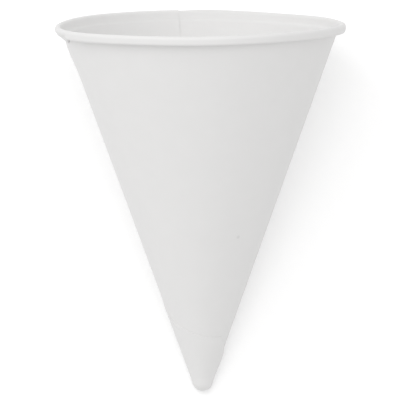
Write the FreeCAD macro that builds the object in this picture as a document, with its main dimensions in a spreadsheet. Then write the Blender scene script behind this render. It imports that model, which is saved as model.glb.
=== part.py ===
import FreeCAD, Part
import math
import os

import Sketcher

# Cone paper cup with a rolled rim, lying on its side on a flat surface.
# One sheet of paper is wound into a cone, glued where it laps itself at the
# back, and its top edge is rolled outwards into a hollow curl.
#
# The cup is described in its own frame first: the point of the cone is the
# origin, +Z is the axis from the point to the mouth, and an angle round the
# axis is 0 at the front (-Y) and grows towards the right (+X).

doc = FreeCAD.newDocument("cone_paper_cup")

# Driving sizes, in millimetres and degrees
sizes = doc.addObject("Spreadsheet::Sheet", "sizes")
DRIVING_SIZES = [
    ("rim_diameter", "74", "over the outside of the rolled rim"),
    ("roll_diameter", "2.3", "thickness of the curl"),
    ("roll_standout", "1.7", "curl beyond the outer face of the wall"),
    ("roll_turn", "318", "how far the curl goes round"),
    ("half_angle", "19.9", "of the cone"),
    ("tip_radius", "2.4", "rounded end of the inner turn"),
    ("paper", "0.18", "one layer of the sheet"),
    ("ledge_fillet", "0.5", "inside, where the wall turns into the curl"),
    ("seam_angle", "-154", "where the outer side edge of the sheet runs straight up the wall"),
    ("outer_edge_distance", "20", "slanting cut of the sheet below the seam, from the point"),
    ("outer_edge_facing", "38", "angle round the axis where that cut is closest"),
    ("tail_edge_distance", "11.6", "lower edge of the sheet, from the point"),
    ("tail_edge_facing", "204", "angle round the axis where that edge is closest"),
    ("glued_lap", "10.4", "overlap of the sheet at the rim, beside the seam"),
    ("climb", "6", "length over which the sheet steps onto its own start"),
    ("tip_wrap", "9.4", "how far up from the point the last wrap of the tip reaches"),
    ("crease_angle", "-71", "where the loose stretch of curl ends in a crease"),
    ("loose_length", "26", "of the loose stretch, along the rim"),
    ("loose_hang", "2.7", "of the loose stretch below the middle of the curl"),
    ("flat_depth", "0.2", "how far the curl is pressed in where the cup lies on it"),
]
for row, (alias, value, note) in enumerate(DRIVING_SIZES, start=1):
    sizes.set("A%d" % row, alias)
    sizes.set("B%d" % row, value)
    sizes.setAlias("B%d" % row, alias)
    sizes.set("C%d" % row, note)
doc.recompute()


def size(alias):
    return float(sizes.get(alias))


ORIGIN = FreeCAD.Vector(0, 0, 0)
UP = FreeCAD.Vector(0, 0, 1)
FULL_TURN = 360

paper = size("paper")
half_angle = math.radians(size("half_angle"))
rim_radius = size("rim_diameter") / 2
roll_radius = size("roll_diameter") / 2
wall_radius_at_roll = rim_radius - size("roll_standout")
roll_centre_radius = rim_radius - roll_radius
roll_centre_height = wall_radius_at_roll / math.tan(half_angle)
rim_height = roll_centre_height + roll_radius
tip_centre_height = size("tip_radius") / math.sin(half_angle)


def around(angle):
    """Unit vector square to the axis, at an angle round the cup."""
    turn = math.radians(angle)
    return FreeCAD.Vector(math.sin(turn), -math.cos(turn), 0)


def on_wall(slant, angle, offset=0.0):
    """Point at a slant distance from the cone's point, offset outwards
    from the outer face of the inner turn."""
    along = around(angle) * math.sin(half_angle) + FreeCAD.Vector(0, 0, math.cos(half_angle))
    outwards = around(angle) * math.cos(half_angle) - FreeCAD.Vector(0, 0, math.sin(half_angle))
    return along * slant + outwards * offset


def loft(sections):
    wires = [Part.makePolygon(points + points[:1]) for points in sections]
    return Part.makeLoft(wires, True, False)


def solid_feature(name, shape):
    feature = doc.addObject("Part::Feature", name)
    feature.Shape = shape
    return feature


# Inner turn: the whole cup as one layer of paper, revolved
body = doc.addObject("PartDesign::Body", "inner_turn")
section_plane = [f for f in body.Origin.OriginFeatures if f.Role == "XZ_Plane"][0]
section = body.newObject("Sketcher::SketchObject", "section")
section.AttachmentSupport = [(section_plane, "")]
section.MapMode = "FlatFace"


def meet_circle(radius, shift):
    """Where the wall's line, shifted inwards, meets a circle of the curl, low and inside."""
    across = math.cos(half_angle)
    up = math.sin(half_angle)
    from_line = roll_centre_radius * across - roll_centre_height * up + shift
    along_line = roll_centre_radius * up + roll_centre_height * across
    reach = along_line - math.sqrt(radius ** 2 - from_line ** 2)
    return FreeCAD.Vector(up * reach - across * shift, across * reach + up * shift, 0)


def arc(centre, radius, start, end):
    return Part.ArcOfCircle(Part.Circle(centre, FreeCAD.Vector(0, 0, 1), radius), start, end)


def bearing(point, centre):
    return math.atan2(point.y - centre.y, point.x - centre.x)


roll_centre = FreeCAD.Vector(roll_centre_radius, roll_centre_height, 0)
tip_centre = FreeCAD.Vector(0, tip_centre_height, 0)
outside_meets = meet_circle(roll_radius - paper, 0)
inside_meets = meet_circle(roll_radius, paper)
wall_bearing = bearing(outside_meets, roll_centre) % (2 * math.pi)
edge_bearing = wall_bearing - math.radians(size("roll_turn"))
square_to_wall = FreeCAD.Vector(math.cos(half_angle), -math.sin(half_angle), 0)
tip_outside = tip_centre + square_to_wall * size("tip_radius")
tip_inside = tip_centre + square_to_wall * (size("tip_radius") - paper)
to_edge = FreeCAD.Vector(math.cos(edge_bearing), math.sin(edge_bearing), 0)
down = -math.pi / 2

tip_out = section.addGeometry(arc(tip_centre, size("tip_radius"), down, -half_angle))
wall_out = section.addGeometry(Part.LineSegment(tip_outside, outside_meets))
curl_in = section.addGeometry(arc(roll_centre, roll_radius - paper, edge_bearing, wall_bearing))
cut_edge = section.addGeometry(Part.LineSegment(
    roll_centre + to_edge * (roll_radius - paper), roll_centre + to_edge * roll_radius))
curl_out = section.addGeometry(arc(
    roll_centre, roll_radius, edge_bearing, bearing(inside_meets, roll_centre) % (2 * math.pi)))
wall_in = section.addGeometry(Part.LineSegment(inside_meets, tip_inside))
tip_in = section.addGeometry(arc(tip_centre, size("tip_radius") - paper, down, -half_angle))
on_axis = section.addGeometry(Part.LineSegment(
    FreeCAD.Vector(0, tip_centre_height - size("tip_radius") + paper, 0),
    FreeCAD.Vector(0, tip_centre_height - size("tip_radius"), 0)))

# Numbers that a sketch gives to a curve's own points, and to its origin and its upright axis
START, END, CENTRE = range(1, 4)
ROOT = -1
AXIS = ROOT - 1
for constraint in [
    ("Tangent", tip_out, END, wall_out, START),
    ("Coincident", wall_out, END, curl_in, END),
    ("Coincident", curl_in, START, cut_edge, START),
    ("Coincident", cut_edge, END, curl_out, START),
    ("Coincident", curl_out, END, wall_in, START),
    ("Tangent", wall_in, END, tip_in, END),
    ("Coincident", tip_in, START, on_axis, START),
    ("Coincident", on_axis, END, tip_out, START),
    ("Coincident", tip_in, CENTRE, tip_out, CENTRE),
    ("Coincident", curl_in, CENTRE, curl_out, CENTRE),
    ("PointOnObject", tip_out, CENTRE, AXIS),
    ("PointOnObject", tip_out, START, AXIS),
    ("PointOnObject", tip_in, START, AXIS),
    ("PointOnObject", ROOT, START, wall_out),
    ("Parallel", wall_in, wall_out),
    ("PointOnObject", curl_out, CENTRE, cut_edge),
]:
    section.addConstraint(Sketcher.Constraint(*constraint))


def bound(name, constraint, formula):
    """Add a dimension to the section and tie it to the sheet of sizes."""
    index = section.addConstraint(Sketcher.Constraint(*constraint))
    section.renameConstraint(index, name)
    section.setExpression("Constraints." + name, formula)


roll_radius_formula = "sizes.roll_diameter / 2"
bound("tip_radius", ("Radius", tip_out, size("tip_radius")), "sizes.tip_radius")
bound("tip_inside", ("Radius", tip_in, size("tip_radius") - paper), "sizes.tip_radius - sizes.paper")
bound("roll_radius", ("Radius", curl_out, roll_radius), roll_radius_formula)
bound("roll_inside", ("Radius", curl_in, roll_radius - paper), roll_radius_formula + " - sizes.paper")
bound("roll_centre", ("DistanceX", ROOT, START, curl_out, CENTRE, roll_centre_radius),
      "sizes.rim_diameter / 2 - " + roll_radius_formula)
bound("roll_height", ("DistanceY", ROOT, START, curl_out, CENTRE, roll_centre_height),
      "(sizes.rim_diameter / 2 - sizes.roll_standout) / tan(sizes.half_angle * 1deg)")
bound("half_angle", ("Angle", wall_out, math.pi / 2 - half_angle), "(90 - sizes.half_angle) * 1deg")
bound("roll_turn", ("Angle", curl_in, math.radians(size("roll_turn"))), "sizes.roll_turn * 1deg")
doc.recompute()

revolution = body.newObject("PartDesign::Revolution", "wound_cone")
revolution.Profile = section
revolution.ReferenceAxis = (section, ["V_Axis"])
revolution.Angle = FULL_TURN
doc.recompute()

# Ledge inside the mouth, where the wall turns into the curl
def is_ledge(edge):
    middle = edge.CenterOfMass
    reach = edge.Vertexes[0].Point.distanceToPoint(middle)
    return abs(middle.z - inside_meets.y) < paper / 2 and abs(reach - inside_meets.x) < paper / 2


ledges = ["Edge%d" % (i + 1) for i, edge in enumerate(revolution.Shape.Edges) if is_ledge(edge)]
ledge = body.newObject("PartDesign::Fillet", "ledge")
ledge.Base = (revolution, ledges)
ledge.setExpression("Radius", "sizes.ledge_fillet")
doc.recompute()

# Where the sheet's straight edges run once it is wound
tip_slant = size("tip_radius") / math.tan(half_angle)
wrapped = 2 * paper
overlap = 4 * paper
sheet_low = tip_slant + overlap
sheet_top = math.hypot(outside_meets.x, outside_meets.y) + paper
inside_top = math.hypot(inside_meets.x, inside_meets.y) - 2 * size("ledge_fillet")
wrap = math.sin(half_angle)


def wound(distance, facing, angle):
    """Slant distance, at an angle round the cup, of a straight cut in the flat sheet."""
    return distance / math.cos(math.radians(angle - facing) * wrap)


def outer_edge(angle):
    return wound(size("outer_edge_distance"), size("outer_edge_facing"), angle)


def tail_edge(angle):
    return wound(size("tail_edge_distance"), size("tail_edge_facing"), angle)


def corner_angle():
    """Where the two straight cuts cross, in the free corner of the sheet."""
    outer_turn = math.radians(size("outer_edge_facing")) * wrap
    tail_turn = math.radians(size("tail_edge_facing")) * wrap
    outer, tail = size("outer_edge_distance"), size("tail_edge_distance")
    across = tail * math.cos(outer_turn) - outer * math.cos(tail_turn)
    along = outer * math.sin(tail_turn) - tail * math.sin(outer_turn)
    return math.degrees(math.atan2(across, along)) / wrap


def rim_angle(length):
    """Angle that a length takes up round the top of the wall."""
    return math.degrees(length / wall_radius_at_roll)


corner = corner_angle()
seam = size("seam_angle")
lap_start = seam - rim_angle(size("glued_lap"))
climb_start = lap_start - rim_angle(size("climb"))

# Second turn: one more layer, sunk halfway into the first so that the two are one sheet
SECTION_STEP = 5.0
sunk = -paper / 2
spare = paper / 5


def level(value):
    return lambda angle: value


def climbing(low, high):
    """Offset that rises steadily while the sheet steps onto its own start."""
    return lambda angle: low + (high - low) * (angle - climb_start) / (lap_start - climb_start)


def strip(name, start, end, top, inner, outer):
    """Stretch of sheet between two angles round the cup. Its upper edge and the
    offsets of its two faces are functions of the angle."""
    count = max(2, math.ceil((end - start) / SECTION_STEP))
    sections = []
    for i in range(count + 1):
        angle = start + (end - start) * i / count
        corners = [on_wall(sheet_low, angle, inner(angle)), on_wall(top(angle), angle, inner(angle)),
                   on_wall(top(angle), angle, outer(angle)), on_wall(sheet_low, angle, outer(angle))]
        sections.append(corners)
    return solid_feature(name, loft(sections))


over_start = strip("climb_over_start", climb_start, lap_start,
                   level(sheet_top), level(sunk), climbing(-spare, paper))
glued_lap = strip("glued_lap", lap_start, seam, level(sheet_top), level(sunk), level(paper))
outer_flap = strip("outer_flap", seam, corner, outer_edge, level(sunk), level(paper))
tail_end = climb_start + rim_angle(overlap) + FULL_TURN
tail_flap = strip("tail_flap", corner, tail_end, tail_edge, level(sunk), level(paper))

# Inside, the wall stands off by the same climb, and the sheet's first edge shows as a step
inside_step = strip("inside_step", climb_start, lap_start,
                    level(inside_top), level(-overlap), climbing(-paper - spare, sunk))


# Point of the cup, where the tail is wound round once more
def tip_arc(offset):
    """Meridian of the rounded tip, at the front, from the axis to the wall."""
    radius = size("tip_radius") + offset
    centre = UP * tip_centre_height
    lean = (math.pi / 2 - half_angle) / 2
    middle = centre + around(0) * radius * math.sin(lean) - UP * radius * math.cos(lean)
    return Part.Arc(centre - UP * radius, middle, on_wall(tip_slant, 0, offset)).toShape()


def closed_face(first, corners, second):
    """Face between two curves. Straight lines join their last ends, by way of the
    corners, and their first ends."""
    points = [first.Vertexes[-1].Point] + corners + [second.Vertexes[-1].Point]
    joins = [Part.makeLine(a, b) for a, b in zip(points, points[1:])]
    joins.append(Part.makeLine(second.Vertexes[0].Point, first.Vertexes[0].Point))
    return Part.Face(Part.Wire(Part.__sortEdges__([first, second] + joins)))


wrap_edge = [on_wall(size("tip_wrap"), 0, wrapped), on_wall(size("tip_wrap"), 0, sunk)]
cap_section = closed_face(tip_arc(wrapped), wrap_edge, tip_arc(sunk))
wrapped_tip = solid_feature("wrapped_tip", cap_section.revolve(ORIGIN, UP, FULL_TURN))


# Curl: the glued lap goes on over it, and one stretch hangs loose
def on_curl(angle, radius, bearing_on_curl):
    out = roll_centre_radius + math.cos(bearing_on_curl) * radius
    return around(angle) * out + UP * (roll_centre_height + math.sin(bearing_on_curl) * radius)


CURL_LEFT_SINGLE = math.radians(30)


def curl_arc(radius):
    """The lap's own arc on the curl, short of the sheet's free edge and of the wall."""
    start = edge_bearing + CURL_LEFT_SINGLE
    end = wall_bearing - CURL_LEFT_SINGLE
    bearings = [start, (start + end) / 2, end]
    return Part.Arc(*[on_curl(lap_start, radius, one) for one in bearings]).toShape()


curl_lap_section = closed_face(curl_arc(roll_radius + sunk), [], curl_arc(roll_radius - sunk))
curl_lap = solid_feature("curl_lap", curl_lap_section.revolve(ORIGIN, UP, rim_angle(size("glued_lap"))))

loose_end = size("crease_angle")
loose_start = loose_end - rim_angle(size("loose_length"))
held_at = roll_radius + sunk


def loose_section(angle, hang):
    """The sheet's free edge pulled down: a straight strip from the outside of
    the curl to the wall, at a depth below the middle of the curl."""
    meets_wall = on_wall((roll_centre_height - hang) / math.cos(half_angle), angle, sunk)
    middle = on_curl(angle, 0, 0)
    away = meets_wall - middle
    out, up = away.dot(around(angle)), away.z
    leaves_curl = math.atan2(up, out) + math.acos(held_at / away.Length)
    across = on_curl(angle, 1, leaves_curl) - middle
    leaves = on_curl(angle, held_at, leaves_curl)
    up_the_wall = on_wall(1, angle) - ORIGIN
    thickness_on_wall = paper / abs(across.dot(up_the_wall))
    return [leaves - across * paper, leaves, meets_wall, meets_wall + up_the_wall * thickness_on_wall]


LOOSE_STEPS = 4
loose_sections = []
for step in range(LOOSE_STEPS + 1):
    share = step / LOOSE_STEPS
    angle = loose_start + (loose_end - loose_start) * share
    swell = math.sin(share * math.pi / 2) ** 2
    loose_sections.append(loose_section(angle, roll_radius + (size("loose_hang") - roll_radius) * swell))
loose_curl = solid_feature("loose_curl", loft(loose_sections))

# At rest it lies on the curl and the tip, glued side down, with the mouth
# towards +Y: the line that touches both circles of the section is the ground.
tip_rest = size("tip_radius") + wrapped
curl_rest = roll_radius - size("flat_depth")
between = FreeCAD.Vector(roll_centre_radius, roll_centre_height - tip_centre_height, 0)
axis_lift = math.atan2(between.x, between.y) + math.asin((curl_rest - tip_rest) / between.Length)
laid_down = FreeCAD.Placement(ORIGIN, FreeCAD.Rotation(FreeCAD.Vector(1, 0, 0), math.degrees(axis_lift) - 90))
laid_down.Base = UP * (tip_rest - laid_down.multVec(UP * tip_centre_height).z)
lowest_roll = laid_down.multVec(around(FULL_TURN / 2) * roll_centre_radius + UP * roll_centre_height)

# The curl is soft paper and is pressed flat there: what would be under the ground
# is cut away, and one layer of paper inside the curl lies flat on the ground
ring = doc.addObject("Part::Torus", "curl_outline")
ring.setExpression("Radius1", "(sizes.rim_diameter - sizes.roll_diameter) / 2")
ring.setExpression("Radius2", roll_radius_formula)
ring.Placement.Base = UP * roll_centre_height


def ground_box(name, thickness, bottom):
    """Box under the lowest stretch of curl, from a height over the ground, in the lying cup's frame."""
    box = doc.addObject("Part::Box", name)
    box.setExpression("Length", "sizes.rim_diameter / 2")
    box.setExpression("Width", "sizes.roll_diameter * 3")
    box.setExpression("Height", thickness)
    doc.recompute()
    corner_at = FreeCAD.Vector(-box.Length.Value / 2, lowest_roll.y - box.Width.Value / 2, bottom)
    box.Placement = laid_down.inverse() * FreeCAD.Placement(corner_at, FreeCAD.Rotation())
    return box


flat_sheet = doc.addObject("Part::Common", "flat_sheet")
flat_sheet.Base = ring
flat_sheet.Tool = ground_box("one_layer", "sizes.paper", 0)
below_ground = ground_box("below_ground", "sizes.roll_diameter", -size("roll_diameter"))

# The whole cup as one solid
wound_sheet = doc.addObject("Part::MultiFuse", "wound_sheet")
wound_sheet.Shapes = [body, over_start, glued_lap, outer_flap, tail_flap, wrapped_tip,
                      curl_lap, loose_curl, flat_sheet]
stepped_inside = doc.addObject("Part::Cut", "stepped_inside")
stepped_inside.Base = wound_sheet
stepped_inside.Tool = inside_step
cup = doc.addObject("Part::Cut", "cone_cup")
cup.Label = "cone_cup"
cup.Base = stepped_inside
cup.Tool = below_ground
cup.Placement = laid_down
doc.recompute()

# The origin is on the ground, below the middle of the cup
laid_box = cup.Shape.optimalBoundingBox(False, False)
cup.Placement.Base += FreeCAD.Vector(-laid_box.Center.x, -laid_box.Center.y, -laid_box.ZMin)
doc.recompute()

# Checks, then one file for the one piece
for item in doc.Objects:
    if "Invalid" in item.State or "Error" in item.State:
        raise RuntimeError(item.Label + " did not compute")
if not section.FullyConstrained:
    raise RuntimeError("the section is not fully constrained")
if cup.Shape.isNull() or not cup.Shape.isValid() or len(cup.Shape.Solids) != 1:
    raise RuntimeError("the cup is not one valid solid")

height = rim_height - tip_centre_height + tip_rest
print("cup height %.2f, solid volume %.1f" % (height, cup.Shape.Volume))
os.makedirs("parts", exist_ok=True)
cup.Shape.exportStep("parts/" + cup.Label + ".step")
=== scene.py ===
import math

import bmesh
import bpy
from bpy.props import FloatProperty, FloatVectorProperty, PointerProperty
from mathutils import Matrix, Vector


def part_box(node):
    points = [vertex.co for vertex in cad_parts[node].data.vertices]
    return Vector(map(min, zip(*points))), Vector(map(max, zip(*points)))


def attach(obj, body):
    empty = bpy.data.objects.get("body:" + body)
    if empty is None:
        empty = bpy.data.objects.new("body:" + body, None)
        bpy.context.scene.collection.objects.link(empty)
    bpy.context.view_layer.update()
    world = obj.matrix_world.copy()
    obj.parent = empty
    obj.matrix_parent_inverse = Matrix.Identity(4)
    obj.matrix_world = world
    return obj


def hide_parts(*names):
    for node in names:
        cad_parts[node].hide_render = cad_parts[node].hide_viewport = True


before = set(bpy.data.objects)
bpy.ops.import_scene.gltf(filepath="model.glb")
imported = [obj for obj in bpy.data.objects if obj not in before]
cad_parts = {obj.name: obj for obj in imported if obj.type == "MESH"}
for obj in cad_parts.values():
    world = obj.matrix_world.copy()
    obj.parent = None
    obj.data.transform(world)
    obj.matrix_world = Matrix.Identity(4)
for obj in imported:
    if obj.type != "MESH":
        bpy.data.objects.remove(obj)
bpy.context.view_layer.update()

bl_info = {
    "name": "Cone paper cup",
    "version": (1, 0, 0),
    "blender": (4, 5, 0),
    "location": "3D View > Sidebar > Paper cup",
    "description": "Winds a cone cup with a rolled rim out of one sheet of paper, on a stage",
    "category": "Add Mesh",
}

MM = 0.001
CUP_LOW, CUP_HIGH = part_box("cone_cup")

# Dips of the rim below a true circle: depth in mm, middle and half width in degrees round the cup
RIM_DIPS = ((0.62, -68, 58), (0.18, -104, 34), (0.25, -8, 45), (0.45, 105, 50), (0.46, 146, 36))
# Gap between two layers of paper, and from the tight and the loose curl's edge to the wall
LAYER_GAP = 0.015 * MM
TIGHT_GAP = 0.1 * MM
LOOSE_GAP = 0.2 * MM
# Angle over which the tight curl becomes the loose one, and depth and width of the pinch there
FOLD = math.radians(4)
PINCH_DEPTH = 0.12 * MM
PINCH_WIDTH = math.radians(1)
# Mesh of the sheet: angle round the cup, and lengths in the tip, the wall and the curl
TURN_STEP = math.radians(2.5)
TIP_STEP = 0.3 * MM
WALL_STEP = 1.6 * MM
CURL_STEP = 0.2 * MM
POLE_HOLE = 0.12 * MM
CREASE_STEP = math.radians(0.8)
# Mesh of the wrap that closes the tip
WRAP_ROWS = 26
WRAP_STEPS = 144
MERGE_DISTANCE = MM / 1000
SHARP_ANGLE = math.radians(40)
# Where the soft lamps stand, seen from the middle of the cup
KEY_DIRECTION = (-0.62, 0.34, 0.66)
TOP_DIRECTION = (0, 0.1, 1)
LAMP_DISTANCE = 0.85
LAMP_WIDTH = 0.5
FLOOR_HALF_WIDTH = 4.0


class CupSizes(bpy.types.PropertyGroup):
    """Sizes of the cup. Angles round it are 0 at the front and grow towards the right"""

    rim_diameter: FloatProperty(
        name="Rim diameter", description="Over the outside of the rolled rim",
        default=CUP_HIGH.x - CUP_LOW.x, unit="LENGTH")
    roll_diameter: FloatProperty(
        name="Roll diameter", description="Thickness of the curl", default=2.3 * MM, unit="LENGTH")
    roll_standout: FloatProperty(
        name="Roll standout", description="Curl beyond the outer face of the wall",
        default=1.7 * MM, unit="LENGTH")
    top_radius: FloatProperty(
        name="Top radius", description="Rounding over the top of the curl",
        default=0.82 * MM, unit="LENGTH")
    face_lean: FloatProperty(
        name="Face lean", description="Of the flat outer face of the curl, facing down",
        default=math.radians(8), unit="ROTATION")
    face_length: FloatProperty(
        name="Face length", description="Of the flat outer face of the curl",
        default=0.9 * MM, unit="LENGTH")
    low_radius: FloatProperty(
        name="Low radius", description="Rounding below that face", default=0.62 * MM, unit="LENGTH")
    half_angle: FloatProperty(
        name="Half angle", description="Of the cone", default=math.radians(19.9), unit="ROTATION")
    tip_radius: FloatProperty(
        name="Tip radius", description="Rounded end of the first turn",
        default=2.4 * MM, unit="LENGTH")
    paper: FloatProperty(
        name="Paper", description="Thickness of the sheet", default=0.18 * MM, unit="LENGTH")
    ledge_depth: FloatProperty(
        name="Ledge depth", description="Step where the wall turns into the curl, below the rim",
        default=2.8 * MM, unit="LENGTH")
    seam_angle: FloatProperty(
        name="Seam angle", description="Where the outer side edge of the sheet runs up the wall",
        default=math.radians(-154), unit="ROTATION")
    outer_edge_distance: FloatProperty(
        name="Outer edge distance", description="Slanting cut below the seam, from the point",
        default=20 * MM, unit="LENGTH")
    outer_edge_facing: FloatProperty(
        name="Outer edge facing", description="Where round the cup that cut is closest to the point",
        default=math.radians(38), unit="ROTATION")
    tail_edge_distance: FloatProperty(
        name="Tail edge distance", description="Lower edge of the sheet, from the point",
        default=11.6 * MM, unit="LENGTH")
    tail_edge_facing: FloatProperty(
        name="Tail edge facing", description="Where round the cup that edge is closest to the point",
        default=math.radians(204), unit="ROTATION")
    glued_lap: FloatProperty(
        name="Glued lap", description="Overlap of the sheet at the rim, beside the seam",
        default=10.4 * MM, unit="LENGTH")
    climb: FloatProperty(
        name="Climb", description="Length over which the sheet steps onto its own start",
        default=6 * MM, unit="LENGTH")
    tip_wrap: FloatProperty(
        name="Tip wrap", description="Slant height of the top of the wrap that closes the tip",
        default=9.4 * MM, unit="LENGTH")
    tail_stand: FloatProperty(
        name="Tail stand", description="How far the sheet's last corner stands off on the right",
        default=0.24 * MM, unit="LENGTH")
    crease_angle: FloatProperty(
        name="Crease angle", description="Where the loose stretch ends in a crease, at the wall",
        default=math.radians(-72), unit="ROTATION")
    crease_slant: FloatProperty(
        name="Crease slant", description="Angle round the cup between its ends at rim and wall",
        default=math.radians(9), unit="ROTATION")
    loose_length: FloatProperty(
        name="Loose length", description="Of the loose stretch, along the rim",
        default=26 * MM, unit="LENGTH")
    loose_hang: FloatProperty(
        name="Loose hang", description="Of the loose stretch below the middle of the rounded top",
        default=2.9 * MM, unit="LENGTH")
    loose_standout: FloatProperty(
        name="Loose standout", description="Of the loose stretch beyond the tight curl",
        default=0.22 * MM, unit="LENGTH")
    flat_depth: FloatProperty(
        name="Flat depth", description="How far the curl is pressed in where the cup lies on it",
        default=0.2 * MM, unit="LENGTH")


class CupFinish(bpy.types.PropertyGroup):
    """Colours of the paper"""

    paper_colour: FloatVectorProperty(
        name="Paper colour", description="White coated paper", subtype="COLOR", size=3,
        min=0, max=1, default=(0.80, 0.795, 0.79))
    speck_colour: FloatVectorProperty(
        name="Speck colour", description="A fleck in the paper", subtype="COLOR", size=3,
        min=0, max=1, default=(0.72, 0.715, 0.71))
    roughness: FloatProperty(
        name="Roughness", description="Of the coated surface", min=0, max=1, default=0.5)
    speck_angle: FloatProperty(
        name="Speck angle", description="Where the fleck is round the cup",
        default=math.radians(34.5), unit="ROTATION")
    speck_reach: FloatProperty(
        name="Speck reach", description="How far the fleck is from the point of the cone",
        default=48.1 * MM, unit="LENGTH")
    speck_radius: FloatProperty(
        name="Speck radius", description="Of the fleck", default=0.65 * MM, unit="LENGTH")


class StageSettings(bpy.types.PropertyGroup):
    """Camera, floor and light"""

    camera_distance: FloatProperty(
        name="Camera distance", description="From the axis of the cup", default=2.5, unit="LENGTH")
    camera_rise: FloatProperty(
        name="Camera rise", description="Elevation over the plane of the rim, seen from its middle",
        default=math.radians(5.26), unit="ROTATION")
    aim_height: FloatProperty(
        name="Aim height", description="Point on the axis that the camera is aimed at",
        default=53.28 * MM, unit="LENGTH")
    aim_left: FloatProperty(
        name="Aim left", description="How far left of the axis the camera is aimed",
        default=0.38 * MM, unit="LENGTH")
    camera_roll: FloatProperty(
        name="Camera roll", description="Anticlockwise lean of the camera",
        default=math.radians(-0.33), unit="ROTATION")
    view_width: FloatProperty(
        name="View width", description="Width of the picture where it cuts the axis",
        default=101.87 * MM, unit="LENGTH")
    floor_colour: FloatVectorProperty(
        name="Floor colour", description="Pale floor", subtype="COLOR", size=3, min=0, max=1,
        default=(0.86, 0.86, 0.86))
    floor_glow: FloatProperty(
        name="Floor glow", description="Light on the floor that only the camera and reflections see",
        default=0.25)
    key_power: FloatProperty(
        name="Key light", description="Power of the soft light from the left, in watts", default=1.25)
    top_power: FloatProperty(
        name="Top light", description="Power of the soft light from above, in watts", default=1.38)
    sky_strength: FloatProperty(
        name="Surrounding light", description="Strength of the even light all round", default=0.755)


def smooth_step(value):
    """0 below 0, 1 above 1, and an even rise between them"""
    value = min(max(value, 0.0), 1.0)
    return value * value * (3 - 2 * value)


def swelling(turn, middle, half_width):
    """1 at an angle round the cup, falling to 0 at a distance on both sides"""
    away = math.remainder(turn - middle, math.tau) / half_width
    return math.cos(away * math.pi / 2) ** 2 if abs(away) < 1 else 0.0


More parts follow.
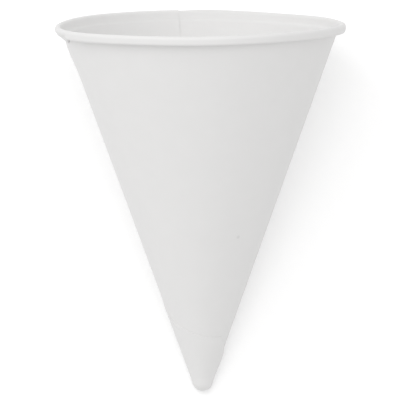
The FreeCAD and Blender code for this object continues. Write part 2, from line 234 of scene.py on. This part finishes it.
class Winding:
    """The cup's geometry: how a point of the flat sheet ends up on the wound cup.

    The point of the cone is the origin, +Z its axis towards the mouth. A flat sheet lies
    with the point of the cone at its origin too, outer face down: its x and y are distances
    in the paper, its z a depth below the outer face."""

    def __init__(self, sizes):
        self.sizes = sizes
        self.paper = sizes.paper
        self.lean = Vector((math.sin(sizes.half_angle), math.cos(sizes.half_angle)))
        self.square = Vector((math.cos(sizes.half_angle), -math.sin(sizes.half_angle)))
        self.roll_radius = sizes.roll_diameter / 2
        rim_radius = sizes.rim_diameter / 2
        wall_radius = rim_radius - sizes.roll_standout
        self.wall_radius = wall_radius
        self.rest_centre = Vector((
            rim_radius - self.roll_radius, wall_radius / math.tan(sizes.half_angle)))
        rim_height = self.rest_centre.y + self.roll_radius
        self.roll_centre = Vector((rim_radius - sizes.top_radius, rim_height - sizes.top_radius))
        self.ledge_slant = (rim_height - sizes.ledge_depth) / math.cos(sizes.half_angle)
        self.tip_slant = sizes.tip_radius / math.tan(sizes.half_angle)
        self.tip_centre = Vector((0, sizes.tip_radius / math.sin(sizes.half_angle)))
        self.pole = self.tip_slant - sizes.tip_radius * (math.pi / 2 - sizes.half_angle)
        self.wrap = math.sin(sizes.half_angle)
        self.first_edge = sizes.seam_angle - sizes.glued_lap / wall_radius
        self.climb_turn = sizes.climb / wall_radius
        self.layer_step = sizes.paper + LAYER_GAP
        self.last_edge = self.first_edge + 2 * math.tau - self.climb_turn
        self.middle_turn = (self.first_edge + self.last_edge) / 2
        self.curl_start = self.roll_centre.dot(self.lean)
        self.sheet_reach = self.curl_start + sum(piece[1] for piece in self.tight_curl(0.0, 0.0))

    def flat_direction(self, turn):
        """Direction in the flat sheet that is wound to an angle round the cup"""
        flat_angle = (turn - self.middle_turn) * self.wrap
        return Vector((math.cos(flat_angle), math.sin(flat_angle), 0))

    def turn_of(self, flat):
        """Angle round the cup at which a point of the flat sheet ends up"""
        return math.atan2(flat.y, flat.x) / self.wrap + self.middle_turn

    def rim_drop(self, turn):
        """How far the rim of this cup hangs below a true circle"""
        return MM * sum(depth * swelling(turn, math.radians(middle), math.radians(half_width))
                        for depth, middle, half_width in RIM_DIPS)

    def layer(self, turn):
        """Height of the sheet's outer face over the first turn's"""
        rise = 0.0
        for passes in range(2):
            stepped = turn - self.first_edge - math.tau * (passes + 1)
            rise += smooth_step(1 + stepped / self.climb_turn)
        return rise * self.layer_step

    def lap_height(self, turn):
        """Height of the wall's outer face just below the curl over the first turn's"""
        behind = (turn - self.first_edge + self.climb_turn) % math.tau
        if behind > self.climb_turn + self.sizes.seam_angle - self.first_edge:
            return 0.0
        return smooth_step(behind / self.climb_turn) * self.layer_step

    def past_crease(self, turn, share):
        """Angle past the crease, at a share of the curl's length from the rim to the wall"""
        crease = self.sizes.crease_angle + self.sizes.crease_slant * (1 - share)
        return math.remainder(crease - turn, math.tau)

    def loosened(self, back):
        """How loose the curl is, from 0 to 1, at an angle past the crease"""
        length = self.sizes.loose_length / self.wall_radius
        if back < 0 or back > length:
            return 0.0
        return smooth_step(back / FOLD) * math.sin((1 - back / length) * math.pi / 2) ** 2

    def pinch(self, back, share):
        """How far the curl is pinched in at the crease; the pinch fades towards the wall"""
        away = back / PINCH_WIDTH
        fade_end, fade_length = 0.8, 0.3
        return PINCH_DEPTH * math.exp(-away * away) * smooth_step((fade_end - share) / fade_length)

    def tight_curl(self, drop, lap):
        """The curl's outer face from the wall over the top and back to the wall, as a chain
        of pieces: radius, or 0 if straight, and length"""
        sizes = self.sizes
        face_turn = math.pi - sizes.half_angle + sizes.face_lean
        low_turn = math.pi / 2 - sizes.face_lean
        out = (sizes.top_radius - sizes.low_radius) * math.cos(sizes.face_lean)
        out -= sizes.face_length * math.sin(sizes.face_lean)
        down = (sizes.top_radius - sizes.low_radius) * math.sin(sizes.face_lean)
        down += sizes.face_length * math.cos(sizes.face_lean) + sizes.low_radius
        low = self.roll_centre + Vector((out, -down - drop))
        under = low.x - low.y * math.tan(sizes.half_angle) - lap - TIGHT_GAP
        return ((sizes.top_radius, sizes.top_radius * face_turn), (0, sizes.face_length),
                (sizes.low_radius, sizes.low_radius * low_turn), (0, under))

    def loose_curl(self, drop, lap):
        """The same for the loose stretch: from the rounded top it runs straight to the wall"""
        sizes = self.sizes
        low = self.roll_centre.y - drop - sizes.loose_hang
        out = low * math.tan(sizes.half_angle) + lap + LOOSE_GAP
        meets = Vector((out - self.roll_centre.x, -sizes.loose_hang))
        leaves = math.atan2(meets.y, meets.x) + math.acos(sizes.top_radius / meets.length)
        straight = math.sqrt(meets.length_squared - sizes.top_radius ** 2)
        top_turn = math.pi - sizes.half_angle - leaves
        return (sizes.top_radius, sizes.top_radius * top_turn), (0, straight)

    def walk(self, centre, chain, share, depth):
        """Point at a share of the length of such a chain, and at a depth below its face"""
        left = share * sum(piece[1] for piece in chain)
        bearing = math.pi - self.sizes.half_angle
        spot = centre - self.square * self.sizes.top_radius
        for radius, length in chain:
            step = min(left, length)
            away = Vector((math.cos(bearing), math.sin(bearing)))
            if radius:
                bearing -= step / radius
                spot += (Vector((math.cos(bearing), math.sin(bearing))) - away) * radius
            else:
                spot += Vector((away.y, -away.x)) * step
            left -= step
        return spot - Vector((math.cos(bearing), math.sin(bearing))) * depth

    def meridian(self, reach, turn, raised):
        """Point of the meridian, as radius and height, at a reach along the sheet"""
        if reach < self.tip_slant:
            lean = (reach - self.pole) / self.sizes.tip_radius
            away = Vector((math.sin(lean), -math.cos(lean)))
            return self.tip_centre + away * (self.sizes.tip_radius + raised)
        drop = self.rim_drop(turn)
        curl_start = self.curl_start - drop * self.lean.y
        share = max(reach - curl_start, 0.0) / (self.sheet_reach - curl_start)
        back = self.past_crease(turn, share)
        loose = self.loosened(back)
        centre = self.roll_centre + Vector((self.sizes.loose_standout * loose, -drop))
        ledge = centre.dot(self.square) - self.sizes.top_radius + self.paper
        if reach < curl_start:
            ledge_length = 0.4 * MM + 2.5 * ledge
            stepped = smooth_step((reach - self.ledge_slant + drop) / ledge_length)
            return self.lean * reach + self.square * (raised + ledge * stepped)
        lap = self.lap_height(turn)
        depth = self.paper + raised + self.pinch(back, share)
        tight = self.walk(centre, self.tight_curl(drop, lap), share, depth)
        if loose == 0:
            return tight
        return tight.lerp(self.walk(centre, self.loose_curl(drop, lap), share, depth), loose)

    def tail_lift(self, reach, turn):
        """How far the second turn stands off towards its last corner, on the right"""
        if turn < self.first_edge + math.tau:
            return 0.0
        rise_length = 7 * MM
        rise = smooth_step((reach - self.tip_slant) / rise_length)
        return self.sizes.tail_stand * rise * swelling(turn, math.radians(98), math.radians(60))

    def bulge(self, reach, turn):
        """Soft unevenness of the first turn: along the slanting edge and near the rim, on the left"""
        if turn > self.first_edge + math.tau:
            return 0.0
        sizes = self.sizes
        facing = math.cos((turn - sizes.outer_edge_facing) * self.wrap)
        slanting_edge = sizes.outer_edge_distance / max(facing, 0.1)
        near_rim = self.sheet_reach - 12 * MM
        along_edge = math.exp(-((reach - slanting_edge) / (6 * MM)) ** 2)
        along_rim = math.exp(-((reach - near_rim) / (4 * MM)) ** 2)
        at_edge = 0.05 * MM * swelling(turn, math.radians(-75), math.radians(80))
        at_rim = 0.38 * MM * swelling(turn, math.radians(-90), math.radians(35))
        return at_edge * along_edge + at_rim * along_rim

    def on_cup(self, reach, turn, raised):
        """Point of the cup at a height over the first turn's outer face"""
        radius, height = self.meridian(reach, turn, raised)
        return Vector((math.sin(turn) * radius, -math.cos(turn) * radius, height))

    def wound(self, flat):
        """Where a point of the flat sheet is on the cup"""
        reach = math.hypot(flat.x, flat.y)
        turn = self.turn_of(flat)
        raised = self.layer(turn) + self.bulge(reach, turn) + self.tail_lift(reach, turn) - flat.z
        return self.on_cup(reach, turn, raised)

    def lying(self):
        """Matrix from the cup's own frame to the frame in which it lies on the floor"""
        sizes = self.sizes
        tip_rest = sizes.tip_radius + 2 * self.paper
        curl_rest = self.roll_radius - sizes.flat_depth
        between = self.rest_centre - self.tip_centre
        lift = math.atan2(between.x, between.y) + math.asin((curl_rest - tip_rest) / between.length)
        turned = Matrix.Rotation(lift - math.pi / 2, 4, "X")
        tip = turned @ Vector((0, 0, self.tip_centre.y))
        return Matrix.Translation((0, CUP_LOW.y + tip_rest - tip.y, tip_rest - tip.z)) @ turned


def stations(winding):
    """Distances from the point of the cone at which the sheet has a row of vertices"""
    rows = []
    reach = winding.pole + POLE_HOLE
    below_ledge = winding.ledge_slant - 1.2 * MM
    while reach < winding.sheet_reach:
        rows.append(reach)
        if reach < winding.tip_slant:
            reach += TIP_STEP
        elif reach < below_ledge:
            reach = min(reach + WALL_STEP, below_ledge)
        else:
            reach += CURL_STEP
    return rows + [winding.sheet_reach]


def with_rims(faces):
    """The faces with all their edges and vertices, as bisect_plane takes them"""
    verts = dict.fromkeys(vert for face in faces for vert in face.verts)
    edges = dict.fromkeys(edge for face in faces for edge in face.edges)
    return [*verts, *edges, *faces]


def slit(bm, winding, turn):
    """Give the fan a straight row of vertices from the point of the cone outwards"""
    along = winding.flat_direction(turn)
    nearly_along = 0.99
    near = [f for f in bm.faces if f.calc_center_median().normalized().dot(along) > nearly_along]
    bmesh.ops.bisect_plane(bm, geom=with_rims(near), dist=MERGE_DISTANCE, plane_co=(0, 0, 0),
                           plane_no=along.cross(Vector((0, 0, 1))))


def cut_along(bm, winding, distance, facing):
    """Cut straight across the second turn of the fan, past the seam"""
    outwards = winding.flat_direction(facing + math.tau)
    seam = winding.sizes.seam_angle + math.tau
    past = [f for f in bm.faces if winding.turn_of(f.calc_center_median()) > seam]
    bmesh.ops.bisect_plane(bm, geom=with_rims(past), dist=MERGE_DISTANCE,
                           plane_co=outwards * distance, plane_no=outwards)
    waste = []
    for face in bm.faces:
        middle = face.calc_center_median()
        if middle.dot(outwards) > distance and winding.turn_of(middle) > seam:
            waste.append(face)
    bmesh.ops.delete(bm, geom=waste, context="FACES")


def flat_sheet(winding):
    """The sheet before it is wound: a fan round the point of the cone, with straight cuts"""
    sizes = winding.sizes
    bm = bmesh.new()
    line = [bm.verts.new(winding.flat_direction(winding.first_edge) * reach)
            for reach in stations(winding)]
    edges = [bm.edges.new(pair) for pair in zip(line, line[1:])]
    span = winding.last_edge - winding.first_edge
    bmesh.ops.spin(bm, geom=line + edges, cent=(0, 0, 0), axis=(0, 0, 1),
                   angle=span * winding.wrap, steps=math.ceil(span / TURN_STEP), use_merge=False)
    for ahead in range(-4, 14):
        slit(bm, winding, sizes.crease_angle + ahead * CREASE_STEP)
    slit(bm, winding, sizes.seam_angle + math.tau)
    cut_along(bm, winding, sizes.outer_edge_distance, sizes.outer_edge_facing)
    cut_along(bm, winding, sizes.tail_edge_distance, sizes.tail_edge_facing)
    bmesh.ops.recalc_face_normals(bm, faces=bm.faces[:])
    if sum(f.normal.z for f in bm.faces) > 0:
        bmesh.ops.reverse_faces(bm, faces=bm.faces[:])
    return bm


def add_thickness(bm, winding):
    """Turn the flat sheet into paper, its outer face kept at depth 0"""
    made = bmesh.ops.extrude_face_region(bm, geom=bm.faces[:], use_keep_orig=True)
    inner = [item for item in made["geom"] if isinstance(item, bmesh.types.BMVert)]
    bmesh.ops.translate(bm, verts=inner, vec=(0, 0, winding.paper))
    bmesh.ops.recalc_face_normals(bm, faces=bm.faces[:])


def tip_cap(bm, winding):
    """The wrap of paper that closes the point, spun from its outline. Its outer face comes out
    from under the second turn and is two layers high at the point"""
    top = winding.sizes.tip_wrap
    rise_length = 3.6 * MM
    spots = []
    for row in range(WRAP_ROWS + 1):
        reach = winding.pole + (top - winding.pole) * row / WRAP_ROWS
        raised = winding.paper * (0.95 + 1.05 * smooth_step((top - reach) / rise_length))
        spots.insert(row, winding.meridian(reach, 0.0, raised))
        spots.insert(row + 1, winding.meridian(reach, 0.0, raised - winding.paper))
    line = [bm.verts.new((0, -max(radius, 0.0), height)) for radius, height in spots]
    edges = [bm.edges.new(pair) for pair in zip(line, line[1:])]
    bmesh.ops.spin(bm, geom=line + edges, cent=(0, 0, 0), axis=(0, 0, 1), angle=math.tau,
                   steps=WRAP_STEPS, use_merge=True)
    bmesh.ops.remove_doubles(bm, verts=bm.verts[:], dist=MERGE_DISTANCE)
    bmesh.ops.recalc_face_normals(bm, faces=bm.faces[:])


def shade(bm):
    """Shade the faces smooth, and the cut edges of the paper sharp"""
    for face in bm.faces:
        face.smooth = True
    for edge in bm.edges:
        if len(edge.link_faces) == 2 and edge.calc_face_angle(0) > SHARP_ANGLE:
            edge.smooth = False


def to_object(bm, name):
    """Make an object of a bmesh, and free the bmesh"""
    mesh = bpy.data.meshes.new(name)
    bm.to_mesh(mesh)
    bm.free()
    piece = bpy.data.objects.new(name, mesh)
    bpy.context.scene.collection.objects.link(piece)
    return piece


class Value:
    """A socket of a shader, on which Python's operators add Math nodes"""

    def __init__(self, tree, socket):
        self.tree, self.socket = tree, socket

    def math(self, operation, *others, flipped=False):
        inputs = [self, *others]
        if flipped:
            inputs.reverse()
        return self.tree.node("ShaderNodeMath", {"operation": operation}, dict(enumerate(inputs)))

    def __add__(self, other):
        return self.math("ADD", other)

    def __sub__(self, other):
        return self.math("SUBTRACT", other)

    def __rsub__(self, other):
        return self.math("SUBTRACT", other, flipped=True)

    def __mul__(self, other):
        return self.math("MULTIPLY", other)

    def __truediv__(self, other):
        return self.math("DIVIDE", other)

    def __rtruediv__(self, other):
        return self.math("DIVIDE", other, flipped=True)

    __radd__ = __add__
    __rmul__ = __mul__


class Tree:
    """Node tree of a material"""

    def __init__(self, material):
        material.use_nodes = True
        self.nodes = material.node_tree.nodes
        self.links = material.node_tree.links
        self.nodes.clear()

    def node(self, kind, settings=None, inputs=None, output=0):
        """Add a node, make its settings, then give its sockets values or links"""
        made = self.nodes.new(kind)
        for name, value in (settings or {}).items():
            setattr(made, name, value)
        for name, value in (inputs or {}).items():
            if isinstance(value, Value):
                self.links.new(value.socket, made.inputs[name])
            else:
                made.inputs[name].default_value = value
        return Value(self, made.outputs[output]) if made.outputs else made


def paper_material(finish, speck):
    """White coated paper, with a fleck at a point of the cup"""
    material = bpy.data.materials.new("coated_paper")
    tree = Tree(material)
    place = tree.node("ShaderNodeTexCoord", output="Object")
    fibres = tree.node("ShaderNodeTexNoise", inputs={"Vector": place, "Scale": 2600.0, "Detail": 3.0})
    clouds = tree.node("ShaderNodeTexNoise", inputs={"Vector": place, "Scale": 240.0, "Detail": 4.0})
    shade_of_paper = 0.985 + clouds * 0.03
    colour = tree.node("ShaderNodeMix", {"data_type": "RGBA", "blend_type": "MULTIPLY"}, {
        "Factor": 1.0, 6: (*finish.paper_colour, 1.0), 7: shade_of_paper}, output=2)
    away = tree.node("ShaderNodeVectorMath", {"operation": "DISTANCE"}, {0: place, 1: speck},
                     output="Value")
    inside = 1 - away / finish.speck_radius + (clouds - 0.5) * 0.8
    fleck = tree.node("ShaderNodeMath", {"operation": "MULTIPLY", "use_clamp": True}, {
        0: inside, 1: 1.6})
    colour = tree.node("ShaderNodeMix", {"data_type": "RGBA"}, {
        "Factor": fleck, 6: colour, 7: (*finish.speck_colour, 1.0)}, output=2)
    bump = tree.node("ShaderNodeBump", inputs={
        "Height": fibres * 0.6 + clouds * 0.4, "Strength": 0.25, "Distance": 0.02 * MM})
    surface = tree.node("ShaderNodeBsdfPrincipled", inputs={
        "Base Color": colour, "Roughness": finish.roughness + (fibres - 0.5) * 0.12,
        "Normal": bump, "IOR": 1.45})
    tree.node("ShaderNodeOutputMaterial", inputs={"Surface": surface})
    return material


class CUP_OT_wind(bpy.types.Operator):
    """Wind the cup out of one flat sheet of paper"""

    bl_idname = "paper_cup.wind"
    bl_label = "Wind the cup"

    def execute(self, context):
        winding = Winding(context.scene.cup_sizes)
        lying = winding.lying()
        bm = flat_sheet(winding)
        add_thickness(bm, winding)
        for vert in bm.verts:
            depth = vert.co.z
            vert.co = lying @ winding.wound(vert.co)
            vert.co.z = max(vert.co.z, depth)
        cap = bmesh.new()
        tip_cap(cap, winding)
        bmesh.ops.transform(cap, matrix=lying, verts=cap.verts[:])
        spare = bpy.data.meshes.new("tip_wrap")
        cap.to_mesh(spare)
        cap.free()
        bm.from_mesh(spare)
        bpy.data.meshes.remove(spare)
        shade(bm)
        cup = to_object(bm, "paper_cup")
        finish = context.scene.cup_finish
        speck = lying @ winding.on_cup(finish.speck_reach, finish.speck_angle, 0.0)
        cup.data.materials.append(paper_material(finish, speck))
        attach(cup, "root")
        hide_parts("cone_cup")
        return {"FINISHED"}


def floor_material(colour, glow_strength):
    """Matt floor that the camera and reflections see a little brighter than it is lit"""
    material = bpy.data.materials.new("pale_floor")
    tree = Tree(material)
    diffuse = tree.node("ShaderNodeBsdfDiffuse", inputs={"Color": (*colour, 1.0)})
    glow = tree.node("ShaderNodeEmission", inputs={"Color": (1, 1, 1, 1), "Strength": glow_strength})
    seen = (tree.node("ShaderNodeLightPath", output="Is Camera Ray")
            + tree.node("ShaderNodeLightPath", output="Is Glossy Ray")
            + tree.node("ShaderNodeLightPath", output="Is Transmission Ray"))
    both = tree.node("ShaderNodeAddShader", inputs={0: diffuse, 1: glow})
    surface = tree.node("ShaderNodeMixShader", inputs={0: seen, 1: diffuse, 2: both})
    tree.node("ShaderNodeOutputMaterial", inputs={"Surface": surface})
    return material


def soft_lamp(name, power, direction):
    """Large square lamp, aimed at the cup"""
    lamp = bpy.data.lights.new(name, "AREA")
    lamp.energy = power
    lamp.size = LAMP_WIDTH
    holder = bpy.data.objects.new(name, lamp)
    bpy.context.scene.collection.objects.link(holder)
    holder.location = Vector(direction).normalized() * LAMP_DISTANCE
    holder.rotation_mode = "QUATERNION"
    holder.rotation_quaternion = (-holder.location).to_track_quat("-Z", "Y")


class CUP_OT_stage(bpy.types.Operator):
    """Set the floor, the light and the camera"""

    bl_idname = "paper_cup.stage"
    bl_label = "Set the stage"

    def execute(self, context):
        scene = context.scene
        stage = scene.cup_stage
        winding = Winding(scene.cup_sizes)
        lying = winding.lying()

        bm = bmesh.new()
        bmesh.ops.create_grid(bm, x_segments=1, y_segments=1, size=FLOOR_HALF_WIDTH)
        floor = to_object(bm, "floor")
        floor.data.materials.append(floor_material(stage.floor_colour, stage.floor_glow))

        world = bpy.data.worlds.new("surroundings")
        scene.world = world
        world.use_nodes = True
        background = world.node_tree.nodes["Background"]
        background.inputs["Color"].default_value = (1, 1, 1, 1)
        background.inputs["Strength"].default_value = stage.sky_strength

        soft_lamp("key", stage.key_power, KEY_DIRECTION)
        soft_lamp("top", stage.top_power, TOP_DIRECTION)

        camera = bpy.data.cameras.new("camera")
        camera_at = bpy.data.objects.new("camera", camera)
        scene.collection.objects.link(camera_at)
        scene.camera = camera_at
        rise = stage.camera_distance * math.tan(stage.camera_rise)
        eye = lying @ Vector((0, -stage.camera_distance, winding.rest_centre.y + rise))
        aim = lying @ Vector((-stage.aim_left, 0, stage.aim_height))
        up = lying.to_3x3() @ Vector((0, 0, 1))
        look = (eye - aim).normalized()
        side = up.cross(look).normalized()
        turned = Matrix((side, look.cross(side), look)).transposed() @ Matrix.Rotation(
            stage.camera_roll, 3, "Z")
        camera_at.matrix_world = Matrix.Translation(eye) @ turned.to_4x4()
        camera.sensor_width = 36
        camera.lens = camera.sensor_width * (eye - aim).length / stage.view_width
        scene.view_settings.view_transform = "Standard"
        return {"FINISHED"}


class CUP_PT_panel(bpy.types.Panel):
    """Panel of the paper cup in the 3D view's sidebar"""

    bl_idname = "CUP_PT_panel"
    bl_label = "Paper cup"
    bl_space_type = "VIEW_3D"
    bl_region_type = "UI"
    bl_category = "Paper cup"

    def draw(self, context):
        scene = context.scene
        for group, operator in ((scene.cup_sizes, CUP_OT_wind), (scene.cup_finish, None),
                                (scene.cup_stage, CUP_OT_stage)):
            for name in group.__annotations__:
                self.layout.prop(group, name)
            if operator:
                self.layout.operator(operator.bl_idname)


CLASSES = (CupSizes, CupFinish, StageSettings, CUP_OT_wind, CUP_OT_stage, CUP_PT_panel)


def register():
    for one in CLASSES:
        bpy.utils.register_class(one)
    bpy.types.Scene.cup_sizes = PointerProperty(type=CupSizes)
    bpy.types.Scene.cup_finish = PointerProperty(type=CupFinish)
    bpy.types.Scene.cup_stage = PointerProperty(type=StageSettings)


def unregister():
    del bpy.types.Scene.cup_stage
    del bpy.types.Scene.cup_finish
    del bpy.types.Scene.cup_sizes
    for one in reversed(CLASSES):
        bpy.utils.unregister_class(one)


def main():
    register()
    bpy.ops.paper_cup.wind()
    bpy.ops.paper_cup.stage()


if __name__ == "__main__":
    main()
